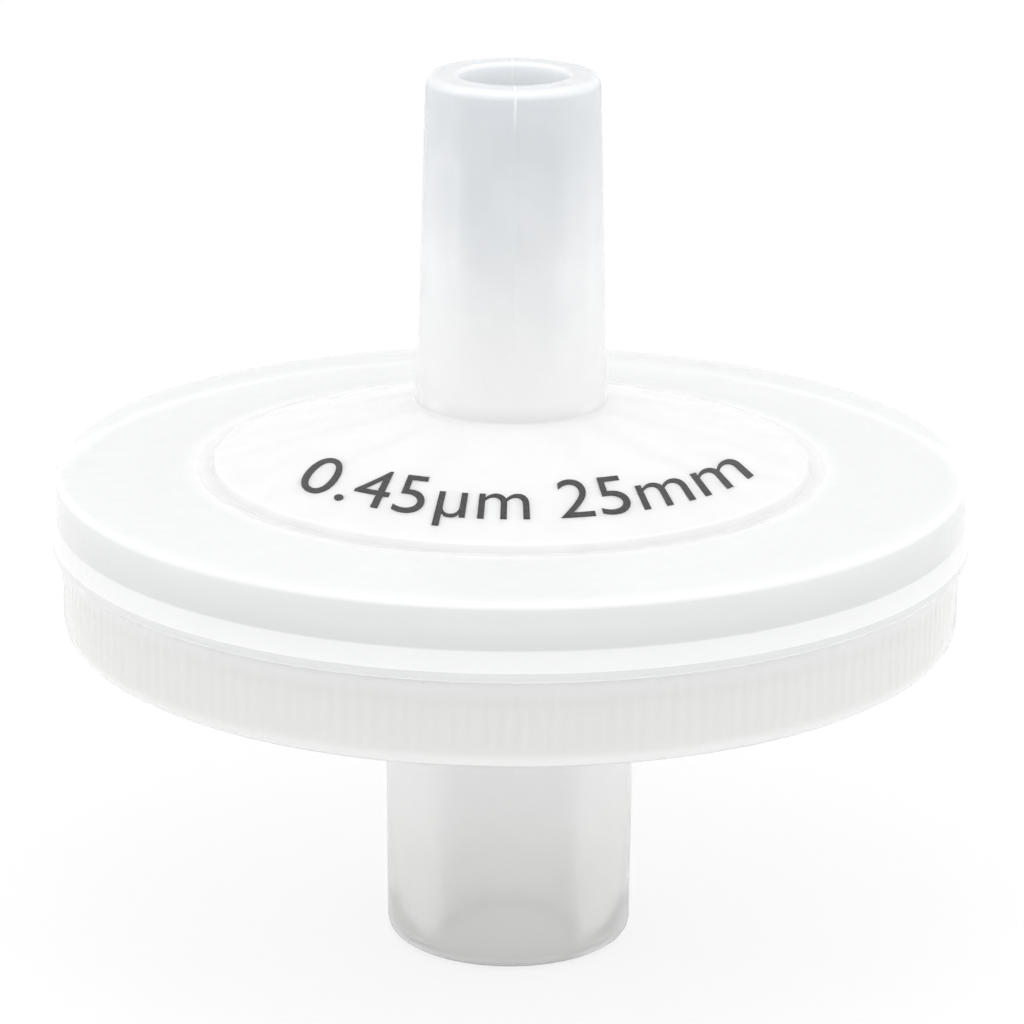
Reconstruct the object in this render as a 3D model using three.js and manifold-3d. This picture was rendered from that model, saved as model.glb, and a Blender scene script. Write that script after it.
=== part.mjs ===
// A disc filter for gases and liquids: two moulded polypropylene halves welded round a membrane.
// Millimetres, +Z up. The origin is the centre of the lower port's rim, where the filter stands.
import * as THREE from 'three';
import { mergeVertices } from 'three/addons/utils/BufferGeometryUtils.js';
import Module from 'manifold-3d';

const wasm = await Module();
wasm.setup();

// Upper housing, outside: heights above the lower port's rim, radii and roundings.
const HEIGHT = 32.4;
const DOME_CROWN = 20.4; // where the upper port leaves the dome
const DOME_EDGE = 18.3;
const DISC_TOP = 18.05;
const LIP_TOP = 16.35;
const LIP_BEVEL = 0.5; // height of the lip's sloping upper face
const LIP_BOTTOM = 15.3;
const DISC_R = 16.5;
const LIP_R = 16.65;
const DOME_R = 10.75;
const GROOVE_R = 11.05; // middle of the shallow ring groove round the dome
const GROOVE_FLOOR = 0.3; // width
const GROOVE_DEPTH = 0.1;
const GROOVE_SLOPE = 0.25;
const RIM_ROUND = 0.25;
const LIP_ROUND = 0.2;

// Upper port: a tube with a Luer-like taper outside, standing on the dome.
const UPPER_TIP_R = 3.12;
const UPPER_ROOT_R = 3.47;
const UPPER_BORE_TIP_R = 1.95;
const UPPER_BORE_ROOT_R = 1.65;
const UPPER_BORE_END = 19.6;
const UPPER_TIP_ROUND = 0.38;
const MOUTH_ROUND = 0.18;
const PORT_FILLET = 0.35;
const BORE_END_ROUND = 0.5;

// The membrane and the two faces that pinch it.
const MEMBRANE_R = 12.5;
const MEMBRANE_THICKNESS = 0.2;
const MEMBRANE_BOTTOM = 15.95;
const PINCH_GAP = 0.05;
const LEDGE = MEMBRANE_BOTTOM - PINCH_GAP;
const SEAL_RING_BOTTOM = MEMBRANE_BOTTOM + MEMBRANE_THICKNESS + PINCH_GAP;
const CHAMBER_R = 11.3; // open area on both sides of the membrane
const CHAMBER_DRAFT = 0.1;
const CHAMBER_ROOF_EDGE = 17; // height of the dome's inner ceiling at its outer edge

// The joint: the lower housing's spigot stands in a slot under the upper housing's rim.
const JOINT_GAP = 0.1;
const SPIGOT_TOP = 16.65;
const SPIGOT_OUTER_R = 15.25;
const SPIGOT_INNER_R = 13.35;
const SLOT_ROOF = SPIGOT_TOP + JOINT_GAP;
const SLOT_OUTER_R = SPIGOT_OUTER_R + JOINT_GAP;
const SLOT_INNER_R = SPIGOT_INNER_R - JOINT_GAP;
const SHOULDER = LIP_BOTTOM - JOINT_GAP; // top of the lower housing's outer wall

// Lower housing, outside. Its underside is cored out, so that every wall is about as thick.
const LOWER_WALL_R = 16.3;
const DISC_BOTTOM = 12.05;
const WALL_ROUND = 0.7;
const SHOULDER_ROUND = 0.12;
const SKIRT_INNER_R = 15.05;
const SKIRT_DRAFT = 0.1;
const SKIRT_ROUND = 0.15;
const CORE_ROOF = 14.4;
const CORE_INNER_R = 11.6;
const CORE_FILLET = 0.3;
const BASE_HUB = 12.25; // height of the underside at the lower port's root
const BASE_SLOPE_END = 13.2;
const BASE_SLOPE_END_R = 11;

// Lower port: a wider tube under the disc, with a narrow throat into the chamber.
const LOWER_TIP_R = 4.5;
const LOWER_ROOT_R = 4.62;
const LOWER_TIP_ROUND = 0.5;
const LOWER_FILLET = 0.4;
const LOWER_BORE_TIP_R = 2.6;
const LOWER_BORE_ROOT_R = 2.3;
const LOWER_BORE_END = 12.3;
const THROAT_R = 1.6;
const THROAT_BOTTOM = 12.6;
const THROAT_TOP = 13.3;
const THROAT_ROUND = 0.3;
const FLOOR_EDGE = 14.6; // height of the collecting floor at its outer edge

// Ribs that spread the flow above the membrane.
const SPREADER_RIBS = 24;
const SPREADER_RIB_WIDTH = 0.5;
const SPREADER_RIB_BOTTOM = SEAL_RING_BOTTOM + 0.15;
const LONG_RIB_START = 3.2;
const SHORT_RIB_START = 6.6;

// Rings that hold the membrane up from below, crossed by drain channels.
const SUPPORT_RINGS = 5;
const SUPPORT_RING_FIRST_R = 3.4;
const SUPPORT_RING_PITCH = 1.6;
const SUPPORT_RING_WIDTH = 0.7;
const DRAIN_CHANNELS = 8;
const DRAIN_CHANNEL_WIDTH = 1.2;

const TURNED_SEGMENTS = 72;
const RING_SEGMENTS = 36;
const ARC_STEPS = 3;
const EMBED = 0.3; // how far a rib's root runs into the wall that it grows from

// Outline through corners [radius, height, rounding], given anticlockwise, with each rounding as an arc.
function outline(corners) {
  const points = [];
  corners.forEach(([x, y, rounding = 0], i) => {
    const corner = new THREE.Vector2(x, y);
    if (!rounding) {
      points.push(corner);
      return;
    }
    const before = corners[(i + corners.length - 1) % corners.length];
    const after = corners[(i + 1) % corners.length];
    const toBefore = new THREE.Vector2(before[0], before[1]).sub(corner).normalize();
    const toAfter = new THREE.Vector2(after[0], after[1]).sub(corner).normalize();
    const halfAngle = Math.acos(toBefore.dot(toAfter)) / 2;
    const middle = toBefore.clone().add(toAfter).normalize();
    const centre = corner.clone().addScaledVector(middle, rounding / Math.sin(halfAngle));
    const reach = rounding / Math.tan(halfAngle);
    const from = corner.clone().addScaledVector(toBefore, reach).sub(centre);
    const to = corner.clone().addScaledVector(toAfter, reach).sub(centre);
    const start = from.angle();
    const turn = Math.atan2(from.cross(to), from.dot(to));
    for (let k = 0; k <= ARC_STEPS; k++) {
      const angle = start + (turn * k) / ARC_STEPS;
      points.push(new THREE.Vector2(Math.cos(angle), Math.sin(angle)).multiplyScalar(rounding).add(centre));
    }
  });
  return [...points, points[0].clone()];
}

function turned(corners, segments = TURNED_SEGMENTS) {
  return new THREE.LatheGeometry(outline(corners), segments).rotateX(Math.PI / 2);
}

// A flat plate standing on edge along a radius: its outline is in radius and height.
function radialPlate(corners, width, angle) {
  const shape = new THREE.Shape(corners.map(([x, y]) => new THREE.Vector2(x, y)));
  const plate = new THREE.ExtrudeGeometry(shape, { depth: width, bevelEnabled: false });
  return plate.translate(0, 0, -width / 2).rotateX(Math.PI / 2).rotateZ(angle);
}

function solid(geometry) {
  const bare = geometry.clone();
  bare.deleteAttribute('normal');
  bare.deleteAttribute('uv');
  const merged = mergeVertices(bare);
  const triVerts = new Uint32Array(merged.index.array);
  const vertProperties = new Float32Array(merged.attributes.position.array);
  return new wasm.Manifold(new wasm.Mesh({ numProp: 3, vertProperties, triVerts }));
}

function geometryOf(body) {
  const mesh = body.getMesh();
  const geometry = new THREE.BufferGeometry();
  geometry.setAttribute('position', new THREE.BufferAttribute(mesh.vertProperties, 3));
  geometry.setIndex(new THREE.BufferAttribute(mesh.triVerts, 1));
  return geometry;
}

function piece(name, body, colour, roughness) {
  const material = new THREE.MeshStandardMaterial({ color: colour, roughness, metalness: 0 });
  const mesh = new THREE.Mesh(geometryOf(body), material);
  mesh.name = name;
  return mesh;
}

// Height of the dome's inner ceiling at a radius.
function ceiling(radius) {
  const run = (radius - UPPER_BORE_ROOT_R) / (CHAMBER_R - CHAMBER_DRAFT - UPPER_BORE_ROOT_R);
  return THREE.MathUtils.lerp(UPPER_BORE_END, CHAMBER_ROOF_EDGE, run);
}

function spreaderRib(index) {
  const start = index % 2 ? SHORT_RIB_START : LONG_RIB_START;
  const end = CHAMBER_R + EMBED;
  const corners = [
    [start, SPREADER_RIB_BOTTOM],
    [end, SPREADER_RIB_BOTTOM],
    [end, ceiling(end) + EMBED],
    [start, ceiling(start) + EMBED],
  ];
  return solid(radialPlate(corners, SPREADER_RIB_WIDTH, (index * 2 * Math.PI) / SPREADER_RIBS));
}

// Upper housing: port, dome, flat ring and skirt in one moulding, with the seal ring and ribs inside.
function upperHousing() {
  let body = solid(turned([
    [SLOT_OUTER_R, LIP_BOTTOM],
    [LIP_R, LIP_BOTTOM, LIP_ROUND],
    [LIP_R, LIP_TOP - LIP_BEVEL, LIP_ROUND],
    [DISC_R, LIP_TOP],
    [DISC_R, DISC_TOP, RIM_ROUND],
    [GROOVE_R + GROOVE_FLOOR / 2 + GROOVE_SLOPE, DISC_TOP],
    [GROOVE_R + GROOVE_FLOOR / 2, DISC_TOP - GROOVE_DEPTH],
    [GROOVE_R - GROOVE_FLOOR / 2, DISC_TOP - GROOVE_DEPTH],
    [DOME_R, DOME_EDGE],
    [UPPER_ROOT_R, DOME_CROWN, PORT_FILLET],
    [UPPER_TIP_R, HEIGHT, UPPER_TIP_ROUND],
    [UPPER_BORE_TIP_R, HEIGHT, MOUTH_ROUND],
    [UPPER_BORE_ROOT_R, UPPER_BORE_END, BORE_END_ROUND],
    [CHAMBER_R - CHAMBER_DRAFT, CHAMBER_ROOF_EDGE],
    [CHAMBER_R, SEAL_RING_BOTTOM],
    [SLOT_INNER_R, SEAL_RING_BOTTOM],
    [SLOT_INNER_R, SLOT_ROOF],
    [SLOT_OUTER_R, SLOT_ROOF],
  ]));
  for (let i = 0; i < SPREADER_RIBS; i++) body = body.add(spreaderRib(i));
  return piece('upper_housing', body, 0xe6eaea, 0.35);
}

// Height of the lower housing's collecting floor at a radius.
function floorHeight(radius) {
  const run = (radius - THROAT_R) / (CHAMBER_R - CHAMBER_DRAFT - THROAT_R);
  return THREE.MathUtils.lerp(THROAT_TOP, FLOOR_EDGE, run);
}

function supportRing(index) {
  const inner = SUPPORT_RING_FIRST_R + index * SUPPORT_RING_PITCH;
  const outer = inner + SUPPORT_RING_WIDTH;
  const root = floorHeight(inner) - EMBED;
  let ring = solid(turned([[inner, root], [outer, root], [outer, LEDGE], [inner, LEDGE]], RING_SEGMENTS));
  for (let k = 0; k < DRAIN_CHANNELS / 2; k++) {
    const channel = new THREE.BoxGeometry(2 * CHAMBER_R, DRAIN_CHANNEL_WIDTH, 2 * (LEDGE - root));
    channel.translate(0, 0, LEDGE).rotateZ((k * 2 * Math.PI) / DRAIN_CHANNELS);
    ring = ring.subtract(solid(channel));
  }
  return ring;
}

// Lower housing: wider port, cored base, wall and spigot in one moulding, with support rings inside.
function lowerHousing() {
  let body = solid(turned([
    [LOWER_BORE_TIP_R, 0, MOUTH_ROUND],
    [LOWER_TIP_R, 0, LOWER_TIP_ROUND],
    [LOWER_ROOT_R, BASE_HUB, LOWER_FILLET],
    [BASE_SLOPE_END_R, BASE_SLOPE_END],
    [CORE_INNER_R, CORE_ROOF, CORE_FILLET],
    [SKIRT_INNER_R - SKIRT_DRAFT, CORE_ROOF, CORE_FILLET],
    [SKIRT_INNER_R, DISC_BOTTOM, SKIRT_ROUND],
    [LOWER_WALL_R, DISC_BOTTOM, WALL_ROUND],
    [LOWER_WALL_R, SHOULDER, SHOULDER_ROUND],
    [SPIGOT_OUTER_R, SHOULDER],
    [SPIGOT_OUTER_R, SPIGOT_TOP],
    [SPIGOT_INNER_R, SPIGOT_TOP],
    [SPIGOT_INNER_R, LEDGE],
    [CHAMBER_R, LEDGE],
    [CHAMBER_R - CHAMBER_DRAFT, FLOOR_EDGE],
    [THROAT_R, THROAT_TOP, THROAT_ROUND],
    [THROAT_R, THROAT_BOTTOM],
    [LOWER_BORE_ROOT_R, LOWER_BORE_END],
  ]));
  for (let i = 0; i < SUPPORT_RINGS; i++) body = body.add(supportRing(i));
  return piece('lower_housing', body, 0xe2e5e4, 0.4);
}

// Membrane: one thin disc, pinched at its edge between the seal ring and the ledge.
function membrane() {
  const disc = new THREE.CylinderGeometry(MEMBRANE_R, MEMBRANE_R, MEMBRANE_THICKNESS, TURNED_SEGMENTS);
  disc.rotateX(Math.PI / 2).translate(0, 0, MEMBRANE_BOTTOM + MEMBRANE_THICKNESS / 2);
  return piece('membrane', solid(disc), 0xfafaf7, 0.95);
}

const filter = new THREE.Group();
filter.add(lowerHousing(), membrane(), upperHousing());

export default filter;
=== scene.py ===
# A disc filter for gases and liquids: two milky polypropylene halves welded round a membrane.
# It stands on its wide port. Lengths are millimetres until a mesh or an object is made in metres.
import math

import bmesh
import bpy
import numpy as np
from mathutils import Matrix, Vector


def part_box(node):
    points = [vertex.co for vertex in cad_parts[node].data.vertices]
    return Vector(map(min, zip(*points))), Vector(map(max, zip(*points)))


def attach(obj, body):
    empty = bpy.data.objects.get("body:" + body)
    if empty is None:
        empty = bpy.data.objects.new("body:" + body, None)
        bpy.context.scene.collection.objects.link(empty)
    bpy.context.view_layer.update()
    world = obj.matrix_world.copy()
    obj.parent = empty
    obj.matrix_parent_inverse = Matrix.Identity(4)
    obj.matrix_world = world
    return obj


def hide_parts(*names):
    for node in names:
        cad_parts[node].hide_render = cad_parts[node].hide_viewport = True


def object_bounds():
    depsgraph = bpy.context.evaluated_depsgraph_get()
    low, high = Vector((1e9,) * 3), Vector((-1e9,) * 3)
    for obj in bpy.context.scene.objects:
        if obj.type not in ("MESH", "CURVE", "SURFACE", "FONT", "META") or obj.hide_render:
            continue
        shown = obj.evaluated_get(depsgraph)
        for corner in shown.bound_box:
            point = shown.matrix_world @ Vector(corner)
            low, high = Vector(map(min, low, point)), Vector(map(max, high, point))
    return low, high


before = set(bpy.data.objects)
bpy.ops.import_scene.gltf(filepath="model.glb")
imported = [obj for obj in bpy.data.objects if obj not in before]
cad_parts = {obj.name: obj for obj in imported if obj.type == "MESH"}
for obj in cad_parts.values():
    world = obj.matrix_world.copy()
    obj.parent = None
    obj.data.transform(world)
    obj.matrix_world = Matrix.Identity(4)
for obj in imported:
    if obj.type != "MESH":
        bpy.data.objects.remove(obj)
cad_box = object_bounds()

# ---------------------------------------------------------------------------------------------
# Lower housing: one injection moulding in natural polypropylene. A wide plain port opens into a
# shallow floor, whose broken rings hold the membrane up. Its deep wall is finely fluted for grip,
# and the spigot on top is welded into the upper housing's rim.

MM = 0.001
lower_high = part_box("lower_housing")[1]
upper_low, upper_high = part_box("upper_housing")
membrane_low, membrane_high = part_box("membrane")

wall_r = lower_high.x / MM
spigot_top = lower_high.z / MM
lip_bottom = upper_low.z / MM
joint_gap = 0.02
shoulder = lip_bottom - joint_gap
pinch_gap = 0.05
ledge = membrane_low.z / MM - pinch_gap
spigot_outer_r = 15.25
spigot_inner_r = 13.35
chamber_r = 11.3
chamber_draft = 0.1

disc_bottom = 12.05
wall_rounding = 0.7
shoulder_rounding = 0.12
skirt_inner_r = 15.05
skirt_draft = 0.1
skirt_rounding = 0.15
core_roof = 14.4
core_inner_r = 11.6
core_fillet = 0.3
hub = 12.25
base_slope_end = 13.2
base_slope_end_r = 11.0
base_fillet = 0.3
spigot_rounding = 0.1
lower_tip_r = 4.5
lower_tip_rounding = 0.5
lower_mouth_rounding = 0.18
lower_root_r = 4.62
lower_port_band = 0.15
lower_bore_tip_r = 2.6
lower_bore_root_r = 2.3
lower_bore_end = 12.3
lower_bore_end_rounding = 0.2
throat_r = 1.6
throat_rounding = 0.3
throat_bottom = 12.6
throat_top = 13.3
floor_edge = 14.6
floor_fillet = 0.2
slight_rounding = 0.05
lower_longest_step = 1.8
on_surface = 0.01

flutes = 192
flute_depth = 0.018
points_per_flute = 4
parting_ridge = 0.015
parting_ridge_width = 0.12
lower_parting_turn = math.radians(4)
lower_parting_start = 4
lower_parting_full = 2
# The whiteness on each rounding is a painted highlight.
edge_highlight_whiteness = 0.35
parting_whiteness = 0.3
# A band of painted light on the wall below the lip cancels the lip's shadow.
under_lip_painted_light = 0.55
painted_light_band_height = 0.8
painted_light_band_inner_r = spigot_outer_r + 0.3

support_rings = 5
support_ring_first_r = 3.4
support_ring_pitch = 1.6
support_ring_width = 0.7
support_ring_draft = 0.03
drain_channels = 8
drain_channel_width = 1.2
flank = 0.05


def rounded(corners, arc_step=math.radians(22.5)):
    """The closed outline through corners (radius, height, rounding), with each rounding as an arc.

    The third column is 1 in the middle of a rounding and 0 where it meets the straights.
    """
    points = []
    for i, (x, y, rounding) in enumerate(corners):
        corner = Vector((x, y))
        if not rounding:
            points.append((x, y, 0))
            continue
        to_before = (Vector(corners[i - 1][:2]) - corner).normalized()
        to_after = (Vector(corners[(i + 1) % len(corners)][:2]) - corner).normalized()
        half = math.acos(max(-1.0, min(1.0, to_before.dot(to_after)))) / 2
        centre = corner + (to_before + to_after).normalized() * (rounding / math.sin(half))
        start = corner + to_before * (rounding / math.tan(half)) - centre
        end = corner + to_after * (rounding / math.tan(half)) - centre
        turn = math.atan2(start.x * end.y - start.y * end.x, start.dot(end))
        steps = max(2, math.ceil(abs(turn) / arc_step))
        for k in range(steps + 1):
            point = centre + Matrix.Rotation(turn * k / steps, 2) @ start
            points.append((point.x, point.y, math.sin(math.pi * k / steps)))
    return np.array(points)


def divided(points, longest):
    """The same outline with points added, so that no stretch is longer than longest."""
    out = []
    for here, there in zip(points, np.roll(points, -1, axis=0)):
        steps = max(1, math.ceil(np.linalg.norm((there - here)[:2]) / longest))
        out += [here + (there - here) * k / steps for k in range(steps)]
    return np.array(out)


def round_angles(segments):
    """Evenly spaced angles, one for each segment of a full turn."""
    return np.arange(segments) * 2 * math.pi / segments


def around(outline, angles):
    """Tables of radius, height and whiteness, each of outline point by angle."""
    radius, height, edge = [np.repeat(outline[:, i : i + 1], len(angles), axis=1) for i in range(3)]
    # The rounding column becomes a painted highlight.
    return radius, height, edge * edge_highlight_whiteness


def turned(name, radius, height, whiteness, angles):
    """A closed ring from tables of outline point by angle."""
    rows, columns = radius.shape
    x = radius * np.cos(angles)
    y = radius * np.sin(angles)
    vertices = np.stack([x, y, height], axis=-1).reshape(-1, 3) * MM
    row, column = np.meshgrid(np.arange(rows), np.arange(columns), indexing="ij")
    next_row = (row + 1) % rows
    next_column = (column + 1) % columns
    quads = np.stack(
        [
            row * columns + column,
            row * columns + next_column,
            next_row * columns + next_column,
            next_row * columns + column,
        ],
        axis=-1,
    ).reshape(-1, 4)
    return mesh_object(name, vertices, quads, whiteness.ravel())


def mesh_object(name, vertices, faces, whiteness=None, crease=math.radians(32), merge=0.001 * MM):
    """An object with doubled corners merged, smooth but for edges sharper than crease."""
    mesh = bpy.data.meshes.new(name)
    mesh.from_pydata(vertices.tolist(), [], faces.tolist())
    if whiteness is not None:
        mesh.attributes.new("whiteness", "FLOAT", "POINT").data.foreach_set("value", whiteness)
    closed = bmesh.new()
    closed.from_mesh(mesh)
    bmesh.ops.remove_doubles(closed, verts=closed.verts, dist=merge)
    closed.to_mesh(mesh)
    closed.free()
    mesh.polygons.foreach_set("use_smooth", [True] * len(mesh.polygons))
    mesh.set_sharp_from_angle(angle=crease)
    made = bpy.data.objects.new(name, mesh)
    bpy.context.scene.collection.objects.link(made)
    return made


def ramp(value, start, end):
    """0 up to start, 1 from end on, and straight between them."""
    return np.clip((value - start) / (end - start), 0, 1)


def parting_line(radius, angles, turn):
    """1 along the line that the mould's two halves leave at front and back, else 0."""
    across = np.abs(radius * np.cos(angles - turn))
    return 1 - ramp(across, parting_ridge_width / 4, parting_ridge_width / 2)


def floor_height(radius):
    """The collecting floor, which falls from the chamber's edge to the throat."""
    run = (radius - throat_r) / (chamber_r - chamber_draft - throat_r)
    return throat_top + run * (floor_edge - throat_top)


def support_ring_outline():
    """The rings' section, from the outermost ring inwards, standing on the sloping floor."""
    corners = []
    for i in reversed(range(support_rings)):
        inner = support_ring_first_r + i * support_ring_pitch
        outer = inner + support_ring_width
        corners += [
            (outer + support_ring_draft, floor_height(outer), 0),
            (outer, ledge, 0),
            (inner, ledge, 0),
            (inner - support_ring_draft, floor_height(inner), 0),
        ]
    return corners


lower_outline = divided(
    rounded(
        [
            (lower_bore_tip_r, 0, lower_mouth_rounding),
            (lower_tip_r, 0, lower_tip_rounding),
            (lower_root_r, hub, base_fillet),
            (base_slope_end_r, base_slope_end, base_fillet),
            (core_inner_r, core_roof, core_fillet),
            (skirt_inner_r - skirt_draft, core_roof, core_fillet),
            (skirt_inner_r, disc_bottom, skirt_rounding),
            (wall_r, disc_bottom, wall_rounding),
            (wall_r, shoulder - painted_light_band_height, 0),
            (wall_r, shoulder - painted_light_band_height / 2, 0),
            (wall_r, shoulder, shoulder_rounding),
            (spigot_outer_r, shoulder, slight_rounding),
            (spigot_outer_r, spigot_top, spigot_rounding),
            (spigot_inner_r, spigot_top, spigot_rounding),
            (spigot_inner_r, ledge, slight_rounding),
            (chamber_r, ledge, slight_rounding),
            (chamber_r - chamber_draft, floor_edge, floor_fillet),
            *support_ring_outline(),
            (throat_r, throat_top, throat_rounding),
            (throat_r, throat_bottom, 0),
            (lower_bore_root_r, lower_bore_end, lower_bore_end_rounding),
        ]
    ),
    lower_longest_step,
)
lower_angles = round_angles(flutes * points_per_flute)
lower_radius, lower_height, lower_whiteness = around(lower_outline, lower_angles)

on_wall = np.abs(lower_radius - wall_r) < on_surface
on_wall &= lower_height > disc_bottom + wall_rounding - on_surface
on_wall &= lower_height < shoulder - shoulder_rounding + on_surface
flute = 0.5 - 0.5 * np.cos(lower_angles * flutes)
lower_radius = lower_radius - np.where(on_wall, flute_depth * flute, 0)

on_lower_port = np.abs(lower_radius - lower_tip_r) < lower_port_band
on_lower_port &= lower_height < hub - base_fillet
lower_parting = parting_line(lower_radius, lower_angles, lower_parting_turn)
lower_parting = np.where(on_lower_port, lower_parting, 0)
lower_parting = lower_parting * ramp(lower_height, hub - lower_parting_start, hub - lower_parting_full)
lower_radius = lower_radius + parting_ridge * lower_parting
lower_parting_whiteness = parting_whiteness * lower_parting
# Painted light on the wall just below the lip, which cancels the lip's shadow.
painted_light_below_lip = under_lip_painted_light * ramp(lower_height, shoulder - painted_light_band_height, shoulder)
painted_light_below_lip = np.where(lower_radius > painted_light_band_inner_r, painted_light_below_lip, 0)
lower_whiteness = np.maximum(lower_whiteness, np.maximum(lower_parting_whiteness, painted_light_below_lip))

in_rings = (lower_radius > support_ring_first_r - flank) & (lower_radius < chamber_r - floor_fillet)
in_rings &= lower_height > floor_height(lower_radius) + on_surface
in_rings &= lower_height < ledge + on_surface
to_channel = (lower_angles + math.pi / drain_channels) % (2 * math.pi / drain_channels)
across = np.abs(lower_radius * np.sin(to_channel - math.pi / drain_channels))
standing = ramp(across, drain_channel_width / 2 - flank, drain_channel_width / 2 + flank)
ring_floor = floor_height(lower_radius)
lower_height = np.where(in_rings, ring_floor + (lower_height - ring_floor) * standing, lower_height)

lower_shell = turned("lower_shell", lower_radius, lower_height, lower_whiteness, lower_angles)


def feed(tree, socket, value):
    """Links or sets a socket: value is another node's output, a colour or a number."""
    if isinstance(value, bpy.types.NodeSocket):
        tree.links.new(value, socket)
    elif socket.type == "RGBA":
        socket.default_value = (*value, 1)
    else:
        socket.default_value = value


def arithmetic(tree, operation, first, second=0.0):
    """The outcome of one operation on outputs or numbers."""
    made = tree.nodes.new("ShaderNodeMath")
    made.operation = operation
    feed(tree, made.inputs[0], first)
    feed(tree, made.inputs[1], second)
    return made.outputs["Value"]


def spread(tree, value, low, high, to_low, to_high, kind="LINEAR"):
    """value, which runs from low to high, taken over to the range to_low to to_high."""
    made = tree.nodes.new("ShaderNodeMapRange")
    made.interpolation_type = kind
    feed(tree, made.inputs["Value"], value)
    for socket, limit in zip(("From Min", "From Max", "To Min", "To Max"), (low, high, to_low, to_high)):
        made.inputs[socket].default_value = limit
    return made.outputs["Result"]


def blend(tree, factor, first, second):
    """first where factor is 0, second where it is 1. Each is a number or a colour."""
    made = tree.nodes.new("ShaderNodeMix")
    colours = [isinstance(v, tuple) or getattr(v, "type", "") == "RGBA" for v in (first, second)]
    made.data_type = "RGBA" if any(colours) else "FLOAT"
    feed(tree, made.inputs["Factor"], factor)
    feed(tree, made.inputs["A"], first)
    feed(tree, made.inputs["B"], second)
    return made.outputs["Result"]


def noise(tree, scale, detail=3.0, roughness=0.5, low=0.3, high=0.7):
    """Noise in the piece's own coordinates, with so many blotches to the millimetre, from 0 to 1."""
    place = tree.nodes.new("ShaderNodeTexCoord")
    made = tree.nodes.new("ShaderNodeTexNoise")
    made.inputs["Scale"].default_value = scale / MM
    made.inputs["Detail"].default_value = detail
    made.inputs["Roughness"].default_value = roughness
    feed(tree, made.inputs["Vector"], place.outputs["Object"])
    return spread(tree, made.outputs["Fac"], low, high, 0, 1)


def where_on_filter(tree):
    """How far above or below the membrane's seat, and how far from the axis, in metres."""
    place = tree.nodes.new("ShaderNodeTexCoord")
    parts = tree.nodes.new("ShaderNodeSeparateXYZ")
    feed(tree, parts.inputs["Vector"], place.outputs["Object"])
    above = arithmetic(tree, "SUBTRACT", parts.outputs["Z"], ledge * MM)
    x_squared = arithmetic(tree, "MULTIPLY", parts.outputs["X"], parts.outputs["X"])
    y_squared = arithmetic(tree, "MULTIPLY", parts.outputs["Y"], parts.outputs["Y"])
    from_axis = arithmetic(tree, "SQRT", arithmetic(tree, "ADD", x_squared, y_squared))
    return arithmetic(tree, "ABSOLUTE", above), from_axis


fade_start = 4
rim_start = 11.0
rim_full = 12.0
cloud_scale = 0.45
cloud_depth = 0.1
gloss_scale = 1.1
wave_scale = 0.8
wave_height = 0.01
polypropylene_ior = 1.49
scatter = 0.5
outer_polish = (0.1, 0.17)
inner_polish = (0.25, 0.35)
inner_clearness = 0.9
whitened_colour = (0.95, 0.96, 0.96)


def milky_plastic(name, tip_colour, body_colour, rim_colour, tip_clearness, body_clearness, fade_end):
    """Natural polypropylene: milky by the disc, clearer out along a port, with painted highlights on
    edges.
    """
    material = bpy.data.materials.new(name)
    material.use_nodes = True
    tree = material.node_tree
    shader = tree.nodes["Principled BSDF"]
    to_membrane, from_axis = where_on_filter(tree)
    body = spread(tree, to_membrane, fade_end * MM, fade_start * MM, 0, 1, "SMOOTHSTEP")
    rim = spread(tree, from_axis, rim_start * MM, rim_full * MM, 0, 1)
    clouding = spread(tree, noise(tree, cloud_scale), 0, 1, -cloud_depth, cloud_depth)
    milk_and_painted_shade = arithmetic(tree, "ADD", body, clouding)
    # The whiteness attribute holds painted highlights and painted light, and whitens the parting and
    # knit lines.
    highlights_and_marks = tree.nodes.new("ShaderNodeAttribute")
    highlights_and_marks.attribute_name = "whiteness"
    whiteness = highlights_and_marks.outputs["Fac"]
    # Colour darkens out towards a port's tip: partly the thinner, clearer plastic, partly painted shade.
    colour = blend(tree, milk_and_painted_shade, tip_colour, body_colour)
    colour = blend(tree, rim, colour, rim_colour)
    feed(tree, shader.inputs["Base Color"], blend(tree, whiteness, colour, whitened_colour))

    inside = tree.nodes.new("ShaderNodeNewGeometry").outputs["Backfacing"]
    outer_roughness = spread(tree, noise(tree, gloss_scale, 4), 0, 1, *outer_polish)
    inner_roughness = spread(tree, body, 0, 1, *inner_polish)
    feed(tree, shader.inputs["Roughness"], blend(tree, inside, outer_roughness, inner_roughness))
    shader.inputs["IOR"].default_value = polypropylene_ior
    waves = tree.nodes.new("ShaderNodeBump")
    waves.inputs["Distance"].default_value = wave_height * MM
    feed(tree, waves.inputs["Height"], noise(tree, wave_scale, 2))
    feed(tree, shader.inputs["Normal"], waves.outputs["Normal"])

    feed(tree, shader.inputs["Subsurface Weight"], arithmetic(tree, "SUBTRACT", 1, inside))
    shader.inputs["Subsurface Radius"].default_value = (1, 1, 1)
    shader.inputs["Subsurface Scale"].default_value = scatter * MM
    clearness = spread(tree, body, 0, 1, tip_clearness, body_clearness)
    clearness = blend(tree, inside, clearness, inner_clearness)
    clearness = arithmetic(tree, "MULTIPLY", clearness, arithmetic(tree, "SUBTRACT", 1, whiteness))
    feed(tree, shader.inputs["Transmission Weight"], clearness)
    return material


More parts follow.
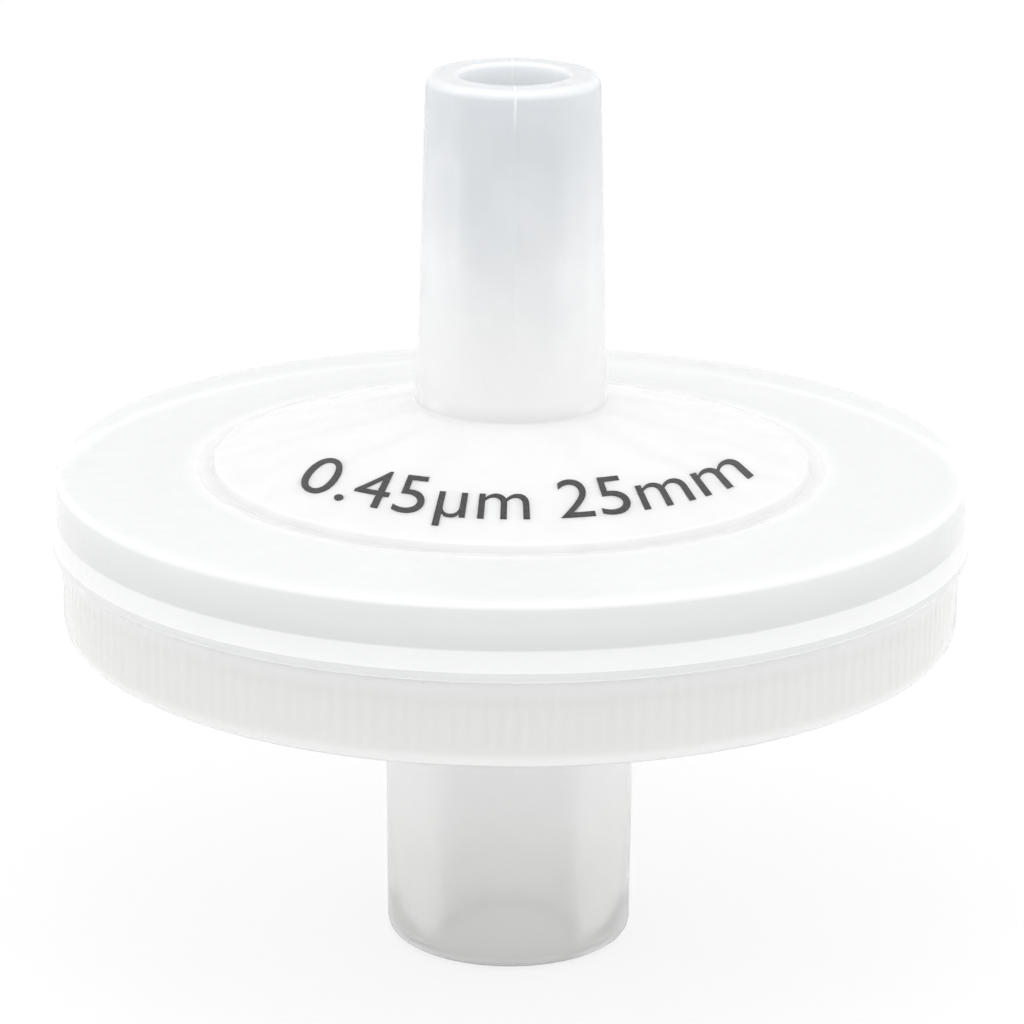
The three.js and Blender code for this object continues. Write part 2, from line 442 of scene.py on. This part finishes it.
# The lower tip colour is partly painted shade at the port's foot by the bench.
lower_tip_colour = (0.88, 0.88, 0.875)
lower_body_colour = (0.985, 0.985, 0.98)
lower_rim_colour = (0.76, 0.763, 0.753)
lower_tip_clearness = 0.4
lower_body_clearness = 0.06
lower_fade_end = 15
lower_plastic = milky_plastic(
    "natural_polypropylene_lower",
    lower_tip_colour,
    lower_body_colour,
    lower_rim_colour,
    lower_tip_clearness,
    lower_body_clearness,
    lower_fade_end,
)
lower_shell.data.materials.append(lower_plastic)
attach(lower_shell, "root")
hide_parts("lower_housing")

# ---------------------------------------------------------------------------------------------
# Membrane: a thin white porous disc, die-cut from sheet. It lies loose on the rings until the
# weld presses its edge between the lower ledge and the upper housing's seal ring.

membrane_r = membrane_high.x / MM
membrane_bottom = membrane_low.z / MM
membrane_top = membrane_high.z / MM
membrane_angles = round_angles(192)
membrane_longest_step = 1.5
membrane_roughness = 0.95
pore_scale = 9
membrane_shaded = (0.93, 0.93, 0.925)
membrane_white = (0.97, 0.97, 0.965)
membrane_outline = divided(
    rounded(
        [
            (0, membrane_bottom, 0),
            (membrane_r, membrane_bottom, 0),
            (membrane_r, membrane_top, 0),
            (0, membrane_top, 0),
        ]
    ),
    membrane_longest_step,
)
membrane_disc = turned("membrane_disc", *around(membrane_outline, membrane_angles), membrane_angles)
membrane_material = bpy.data.materials.new("porous_white_sheet")
membrane_material.use_nodes = True
membrane_tree = membrane_material.node_tree
membrane_shader = membrane_tree.nodes["Principled BSDF"]
pores = noise(membrane_tree, pore_scale, 5, 0.7)
membrane_colour = blend(membrane_tree, pores, membrane_shaded, membrane_white)
feed(membrane_tree, membrane_shader.inputs["Base Color"], membrane_colour)
membrane_shader.inputs["Roughness"].default_value = membrane_roughness
membrane_disc.data.materials.append(membrane_material)
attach(membrane_disc, "root")
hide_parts("membrane")

# ---------------------------------------------------------------------------------------------
# Upper housing: one injection moulding in the same plastic. A slim port stands on a low dome, a
# shallow groove rings the dome, and the rim ends in a lip that overlaps the lower housing.
# Radial ribs under the dome spread the flow over the membrane.

height = upper_high.z / MM
lip_r = upper_high.x / MM
lip_top = 16.35
lip_bevel = 0.68
lip_rounding = 0.2
lip_edge_rounding = 0.1
bevel_margin = 0.08
on_bevel_edge = 0.02
# The lip's bevel gets a painted highlight.
lip_bevel_highlight = 0.6
# The port's rim face gets a painted highlight and its bore painted light.
rim_face_highlight = 0.12
bore_painted_light = 0.2
disc_r = 16.5
disc_top = 18.05
rim_rounding = 0.25
dome_r = 10.75
dome_edge = 18.3
dome_crown = 20.4
groove_r = 11.05
groove_floor = 0.3
groove_depth = 0.1
groove_slope = 0.25
groove_rounding = 0.08
dome_rounding = 0.15
upper_tip_r = 3.12
upper_tip_rounding = 0.38
bore_mouth_rounding = 0.2
upper_root_r = 3.47
upper_bore_tip_r = 1.95
upper_bore_root_r = 1.65
upper_bore_end = 19.6
bore_end_rounding = 0.5
chamber_roof_edge = 17.0
roof_rounding = 0.1
roof_margin = 0.05
seal_ring_bottom = membrane_top + pinch_gap
slot_gap = 0.1
slot_outer_r = spigot_outer_r + slot_gap
slot_inner_r = spigot_inner_r - slot_gap
slot_roof = spigot_top + slot_gap
spreader_ribs = 24
spreader_rib_width = 0.5
rib_clearance = 0.15
spreader_rib_bottom = seal_ring_bottom + rib_clearance
long_rib_start = 3.2
short_rib_start = 6.6
rib_start_slope = 0.3
upper_longest_step = 0.6
upper_parting_turn = math.radians(1.3)
port_margin = 0.1
knit_line_length = 1.3
# The upper port's root gets painted light that cancels the dome's shade.
root_light_length = 4
root_painted_light = 0.6


def ceiling(radius):
    """The inside of the dome, which rises from the chamber's edge to the bore."""
    run = (radius - upper_bore_root_r) / (chamber_r - chamber_draft - upper_bore_root_r)
    return upper_bore_end + run * (chamber_roof_edge - upper_bore_end)


upper_outline = divided(
    rounded(
        [
            (slot_outer_r, lip_bottom, slight_rounding),
            (lip_r, lip_bottom, lip_edge_rounding),
            (lip_r, lip_top - lip_bevel - bevel_margin, 0),
            (lip_r, lip_top - lip_bevel, lip_rounding),
            (disc_r, lip_top, lip_edge_rounding),
            (disc_r, lip_top + bevel_margin, 0),
            (disc_r, disc_top, rim_rounding),
            (groove_r + groove_floor / 2 + groove_slope, disc_top, dome_rounding),
            (groove_r + groove_floor / 2, disc_top - groove_depth, groove_rounding),
            (groove_r - groove_floor / 2, disc_top - groove_depth, groove_rounding),
            (dome_r, dome_edge, dome_rounding),
            (upper_root_r, dome_crown, dome_rounding),
            (upper_tip_r, height, upper_tip_rounding),
            (upper_bore_tip_r, height, bore_mouth_rounding),
            (upper_bore_root_r, upper_bore_end, bore_end_rounding),
            (chamber_r - chamber_draft, chamber_roof_edge, roof_rounding),
            (chamber_r, seal_ring_bottom, slight_rounding),
            (slot_inner_r, seal_ring_bottom, slight_rounding),
            (slot_inner_r, slot_roof, slight_rounding),
            (slot_outer_r, slot_roof, slight_rounding),
        ]
    ),
    upper_longest_step,
)
upper_angles = round_angles(576)
upper_radius, upper_height, upper_whiteness = around(upper_outline, upper_angles)

on_bevel = (upper_radius > disc_r - on_bevel_edge) & (upper_height < lip_top + on_bevel_edge)
on_bevel &= upper_height > lip_top - lip_bevel - on_bevel_edge
on_rim_face = upper_height > height - on_surface
in_bore = upper_radius < upper_bore_tip_r + on_surface
in_bore &= upper_height > upper_bore_end + bore_end_rounding
# Painted highlight on the lip's bevel.
upper_whiteness = np.where(on_bevel, lip_bevel_highlight, upper_whiteness)
# Painted highlight on the port's rim face and painted light in its bore.
upper_whiteness = np.maximum(upper_whiteness, rim_face_highlight * on_rim_face)
upper_whiteness = np.maximum(upper_whiteness, bore_painted_light * in_bore)

on_upper_port = upper_radius > upper_tip_r - port_margin
on_upper_port &= upper_radius < upper_root_r + port_margin
on_upper_port &= upper_height > dome_crown + dome_rounding
upper_parting = parting_line(upper_radius, upper_angles, upper_parting_turn)
upper_parting = np.where(on_upper_port, upper_parting, 0)
upper_radius = upper_radius + parting_ridge * upper_parting
knit_line = parting_line(upper_radius, upper_angles, upper_parting_turn)
knit_line = knit_line * ramp(upper_height, height - knit_line_length, height - knit_line_length / 2)
upper_whiteness = np.maximum(upper_whiteness, knit_line * parting_whiteness)
# Painted light round the upper port's root, against the dome's shade.
painted_light_at_root = 1 - ramp(upper_height, dome_crown, dome_crown + root_light_length)
painted_light_at_root = np.where(on_upper_port, painted_light_at_root, 0)
upper_whiteness = np.maximum(upper_whiteness, root_painted_light * painted_light_at_root)

under_dome = np.abs(upper_height - ceiling(upper_radius)) < on_surface
under_dome &= upper_radius < chamber_r - chamber_draft - roof_margin
rib_pitch = 2 * math.pi / spreader_ribs
rib_number = np.round(upper_angles / rib_pitch)
off_rib = np.abs(upper_radius * np.sin(upper_angles - rib_number * rib_pitch))
rib_start = np.where(rib_number % 2 == 0, long_rib_start, short_rib_start)
rib = 1 - ramp(off_rib, spreader_rib_width / 2 - flank, spreader_rib_width / 2 + flank)
rib = rib * ramp(upper_radius, rib_start, rib_start + rib_start_slope)
rib_drop = (upper_height - spreader_rib_bottom) * rib
upper_height = upper_height - np.where(under_dome, rib_drop, 0)

upper_shell = turned("upper_shell", upper_radius, upper_height, upper_whiteness, upper_angles)
# The upper tip colour is partly painted shade at the port's top.
upper_tip_colour = (0.75, 0.77, 0.795)
upper_body_colour = (0.97, 0.975, 0.975)
upper_rim_colour = (0.855, 0.868, 0.862)
upper_tip_clearness = 0.4
upper_body_clearness = 0.22
upper_fade_end = 16
upper_plastic = milky_plastic(
    "natural_polypropylene_upper",
    upper_tip_colour,
    upper_body_colour,
    upper_rim_colour,
    upper_tip_clearness,
    upper_body_clearness,
    upper_fade_end,
)
upper_shell.data.materials.append(upper_plastic)
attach(upper_shell, "root")
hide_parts("upper_housing")

# ---------------------------------------------------------------------------------------------
# Marking: pore size and membrane diameter, pad-printed in dark grey ink round the dome's front.
# The ink is a film a few hundredths of a millimetre thick that follows the dome. Each letter is
# made flat, then laid on the baseline's arc, leaned along it and pressed down on the dome.

marking_text = "0.45µm 25mm"
marking_baseline_r = 9.85
marking_width = 16.8
marking_height = 2.9
marking_shift = 0.5
marking_lean = 0.45
stroke_thinning = 0.004
ink_thickness = 0.03
ink_sunk = ink_thickness / 3
ink_roughness = 0.5
ink_mottle_scale = 6
ink_shaded = (0.018, 0.018, 0.018)
ink_grey = (0.045, 0.045, 0.045)


def dome_height(radius):
    """The outside of the dome, between its edge and the upper port."""
    return dome_crown + (radius - upper_root_r) / (dome_r - upper_root_r) * (dome_edge - dome_crown)


lettering = bpy.data.curves.new("marking", "FONT")
lettering.body = marking_text
lettering.align_x = "CENTER"
lettering.resolution_u = 6
lettering.extrude = 0.5
lettering.offset = -stroke_thinning
flat_marking = bpy.data.objects.new("flat_marking", lettering)
bpy.context.scene.collection.objects.link(flat_marking)
bpy.context.view_layer.update()
evaluated_marking = flat_marking.evaluated_get(bpy.context.evaluated_depsgraph_get())
marking_mesh = bpy.data.meshes.new_from_object(evaluated_marking)
bpy.data.objects.remove(flat_marking)
letters = bmesh.new()
letters.from_mesh(marking_mesh)
bmesh.ops.remove_doubles(letters, verts=letters.verts, dist=0.0001)
bmesh.ops.subdivide_edges(letters, edges=letters.edges, cuts=2, use_grid_fill=True)
bmesh.ops.triangulate(letters, faces=letters.faces)
marking_points = np.array([v.co for v in letters.verts])
along, up, out = ((marking_points - marking_points.min(axis=0)) / np.ptp(marking_points, axis=0)).T
foot_x = marking_shift + (along - 0.5) * marking_width
foot_y = -np.sqrt(marking_baseline_r**2 - foot_x**2)
lean = marking_lean * np.arcsin(foot_x / marking_baseline_r)
letter_x = foot_x - up * marking_height * np.sin(lean)
letter_y = foot_y + up * marking_height * np.cos(lean)
letter_z = dome_height(np.hypot(letter_x, letter_y)) - ink_sunk + out * ink_thickness
letter_points = np.stack([letter_x, letter_y, letter_z], axis=-1)
for corner, point in zip(letters.verts, letter_points * MM):
    corner.co = point
letters.to_mesh(marking_mesh)
letters.free()
printed_marking = bpy.data.objects.new("printed_marking", marking_mesh)
bpy.context.scene.collection.objects.link(printed_marking)
ink = bpy.data.materials.new("dark_grey_ink")
ink.use_nodes = True
ink_tree = ink.node_tree
ink_shader = ink_tree.nodes["Principled BSDF"]
ink_mottle = noise(ink_tree, ink_mottle_scale, 4)
ink_colour = blend(ink_tree, ink_mottle, ink_shaded, ink_grey)
feed(ink_tree, ink_shader.inputs["Base Color"], ink_colour)
ink_shader.inputs["Roughness"].default_value = ink_roughness
printed_marking.data.materials.clear()
printed_marking.data.materials.append(ink)
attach(printed_marking, "root")

# ---------------------------------------------------------------------------------------------
# Studio: a white bench in a white room that is brighter at its sides and back. A broad soft light
# hangs over it and a small one over the filter, which is seen from a little above.


def seen_as_background(tree):
    """1 where the eye sees it, straight or through the plastic or as a reflection, else 0."""
    path = tree.nodes.new("ShaderNodeLightPath")
    seen = arithmetic(tree, "MAXIMUM", path.outputs["Is Camera Ray"], path.outputs["Is Glossy Ray"])
    return arithmetic(tree, "MAXIMUM", seen, path.outputs["Is Transmission Ray"])


bench_size = 3.0
bench_drop = 0.02 * MM
bench_colour = 0.9
bench_glow_direct = 0.78
bench_glow_through = 0.2
bench_seen_colour = 0.95
bench_corners = np.array([(-1, -1, 0), (1, -1, 0), (1, 1, 0), (-1, 1, 0)]) * bench_size
bench_corners = bench_corners - (0, 0, bench_drop)
bench = mesh_object("bench", bench_corners, np.array([(0, 1, 2, 3)]))
bench_material = bpy.data.materials.new("white_bench")
bench_material.use_nodes = True
bench_tree = bench_material.node_tree
bench_shader = bench_tree.nodes["Principled BSDF"]
bench_shader.inputs["Roughness"].default_value = 1
bench_shader.inputs["Specular IOR Level"].default_value = 0
bench_seen = seen_as_background(bench_tree)
bench_tint = blend(bench_tree, bench_seen, (bench_colour,) * 3, (bench_seen_colour,) * 3)
feed(bench_tree, bench_shader.inputs["Base Color"], bench_tint)
bench_glow = bench_tree.nodes.new("ShaderNodeEmission")
bench_eye = bench_tree.nodes.new("ShaderNodeLightPath").outputs["Is Camera Ray"]
glow_share = arithmetic(bench_tree, "MULTIPLY", bench_seen, bench_glow_through)
bench_mix = bench_tree.nodes.new("ShaderNodeMixShader")
feed(bench_tree, bench_mix.inputs["Fac"], blend(bench_tree, bench_eye, glow_share, bench_glow_direct))
feed(bench_tree, bench_mix.inputs[1], bench_shader.outputs["BSDF"])
feed(bench_tree, bench_mix.inputs[2], bench_glow.outputs["Emission"])
feed(bench_tree, bench_tree.nodes["Material Output"].inputs["Surface"], bench_mix.outputs["Shader"])
bench.data.materials.append(bench_material)

room_front = 0.92
room_back = 1.14
room_middle = 0.85
room_sides = 1.24
world = bpy.data.worlds.new("white_studio")
bpy.context.scene.world = world
world.use_nodes = True
world_tree = world.node_tree
surroundings = world_tree.nodes["Background"]
surroundings.inputs["Color"].default_value = (1, 1, 1, 1)
direction = world_tree.nodes.new("ShaderNodeTexCoord")
parts = world_tree.nodes.new("ShaderNodeSeparateXYZ")
feed(world_tree, parts.inputs["Vector"], direction.outputs["Generated"])
sideways = arithmetic(world_tree, "ABSOLUTE", parts.outputs["X"])
room_level = arithmetic(
    world_tree,
    "MULTIPLY",
    spread(world_tree, sideways, 0, 1, room_middle, room_sides),
    spread(world_tree, parts.outputs["Y"], -1, 1, room_front, room_back),
)
feed(world_tree, surroundings.inputs["Strength"], room_level)
white = world_tree.nodes.new("ShaderNodeBackground")
white.inputs["Color"].default_value = (1, 1, 1, 1)
world_mix = world_tree.nodes.new("ShaderNodeMixShader")
feed(world_tree, world_mix.inputs["Fac"], seen_as_background(world_tree))
feed(world_tree, world_mix.inputs[1], surroundings.outputs["Background"])
feed(world_tree, world_mix.inputs[2], white.outputs["Background"])
feed(world_tree, world_tree.nodes["World Output"].inputs["Surface"], world_mix.outputs["Shader"])

middle = Vector((0, 0, (cad_box[0].z + cad_box[1].z) / 2))
top_power = 0.3
top_place = (0, -0.12, 0.55)
top_size = 0.5
near_power = 0.0085
near_place = (0, -0.02, 0.075)
near_size = 0.04


def soft_box(name, place, size, power):
    """A square lamp, unseen itself, that shines at the filter's middle."""
    lamp = bpy.data.lights.new(name, "AREA")
    lamp.shape = "SQUARE"
    lamp.size = size
    lamp.energy = power
    made = bpy.data.objects.new(name, lamp)
    made.location = place
    made.visible_camera = False
    made.rotation_mode = "QUATERNION"
    made.rotation_quaternion = (middle - Vector(place)).to_track_quat("-Z", "Y")
    bpy.context.scene.collection.objects.link(made)


soft_box("top_light", top_place, top_size, top_power)
soft_box("near_light", near_place, near_size, near_power)

camera_rise = math.radians(17.05)
camera_distance = 0.1654
camera_roll = math.radians(0.35)
camera_aim = Vector((0.00004, 0, 16.15 * MM))
camera_lens = 159.5
camera_film_width = 36
camera_nearest = 0.005
camera_data = bpy.data.cameras.new("camera")
camera_data.lens = camera_lens
camera_data.sensor_width = camera_film_width
camera_data.clip_start = camera_nearest
camera = bpy.data.objects.new("camera", camera_data)
back = Vector((0, -math.cos(camera_rise), math.sin(camera_rise)))
camera.location = camera_aim + back * camera_distance
camera.rotation_mode = "QUATERNION"
looking = (-back).to_track_quat("-Z", "Y")
camera.rotation_quaternion = looking @ Matrix.Rotation(camera_roll, 3, "Z").to_quaternion()
bpy.context.scene.collection.objects.link(camera)
bpy.context.scene.camera = camera
bpy.context.scene.view_settings.view_transform = "Standard"

bpy.context.view_layer.update()
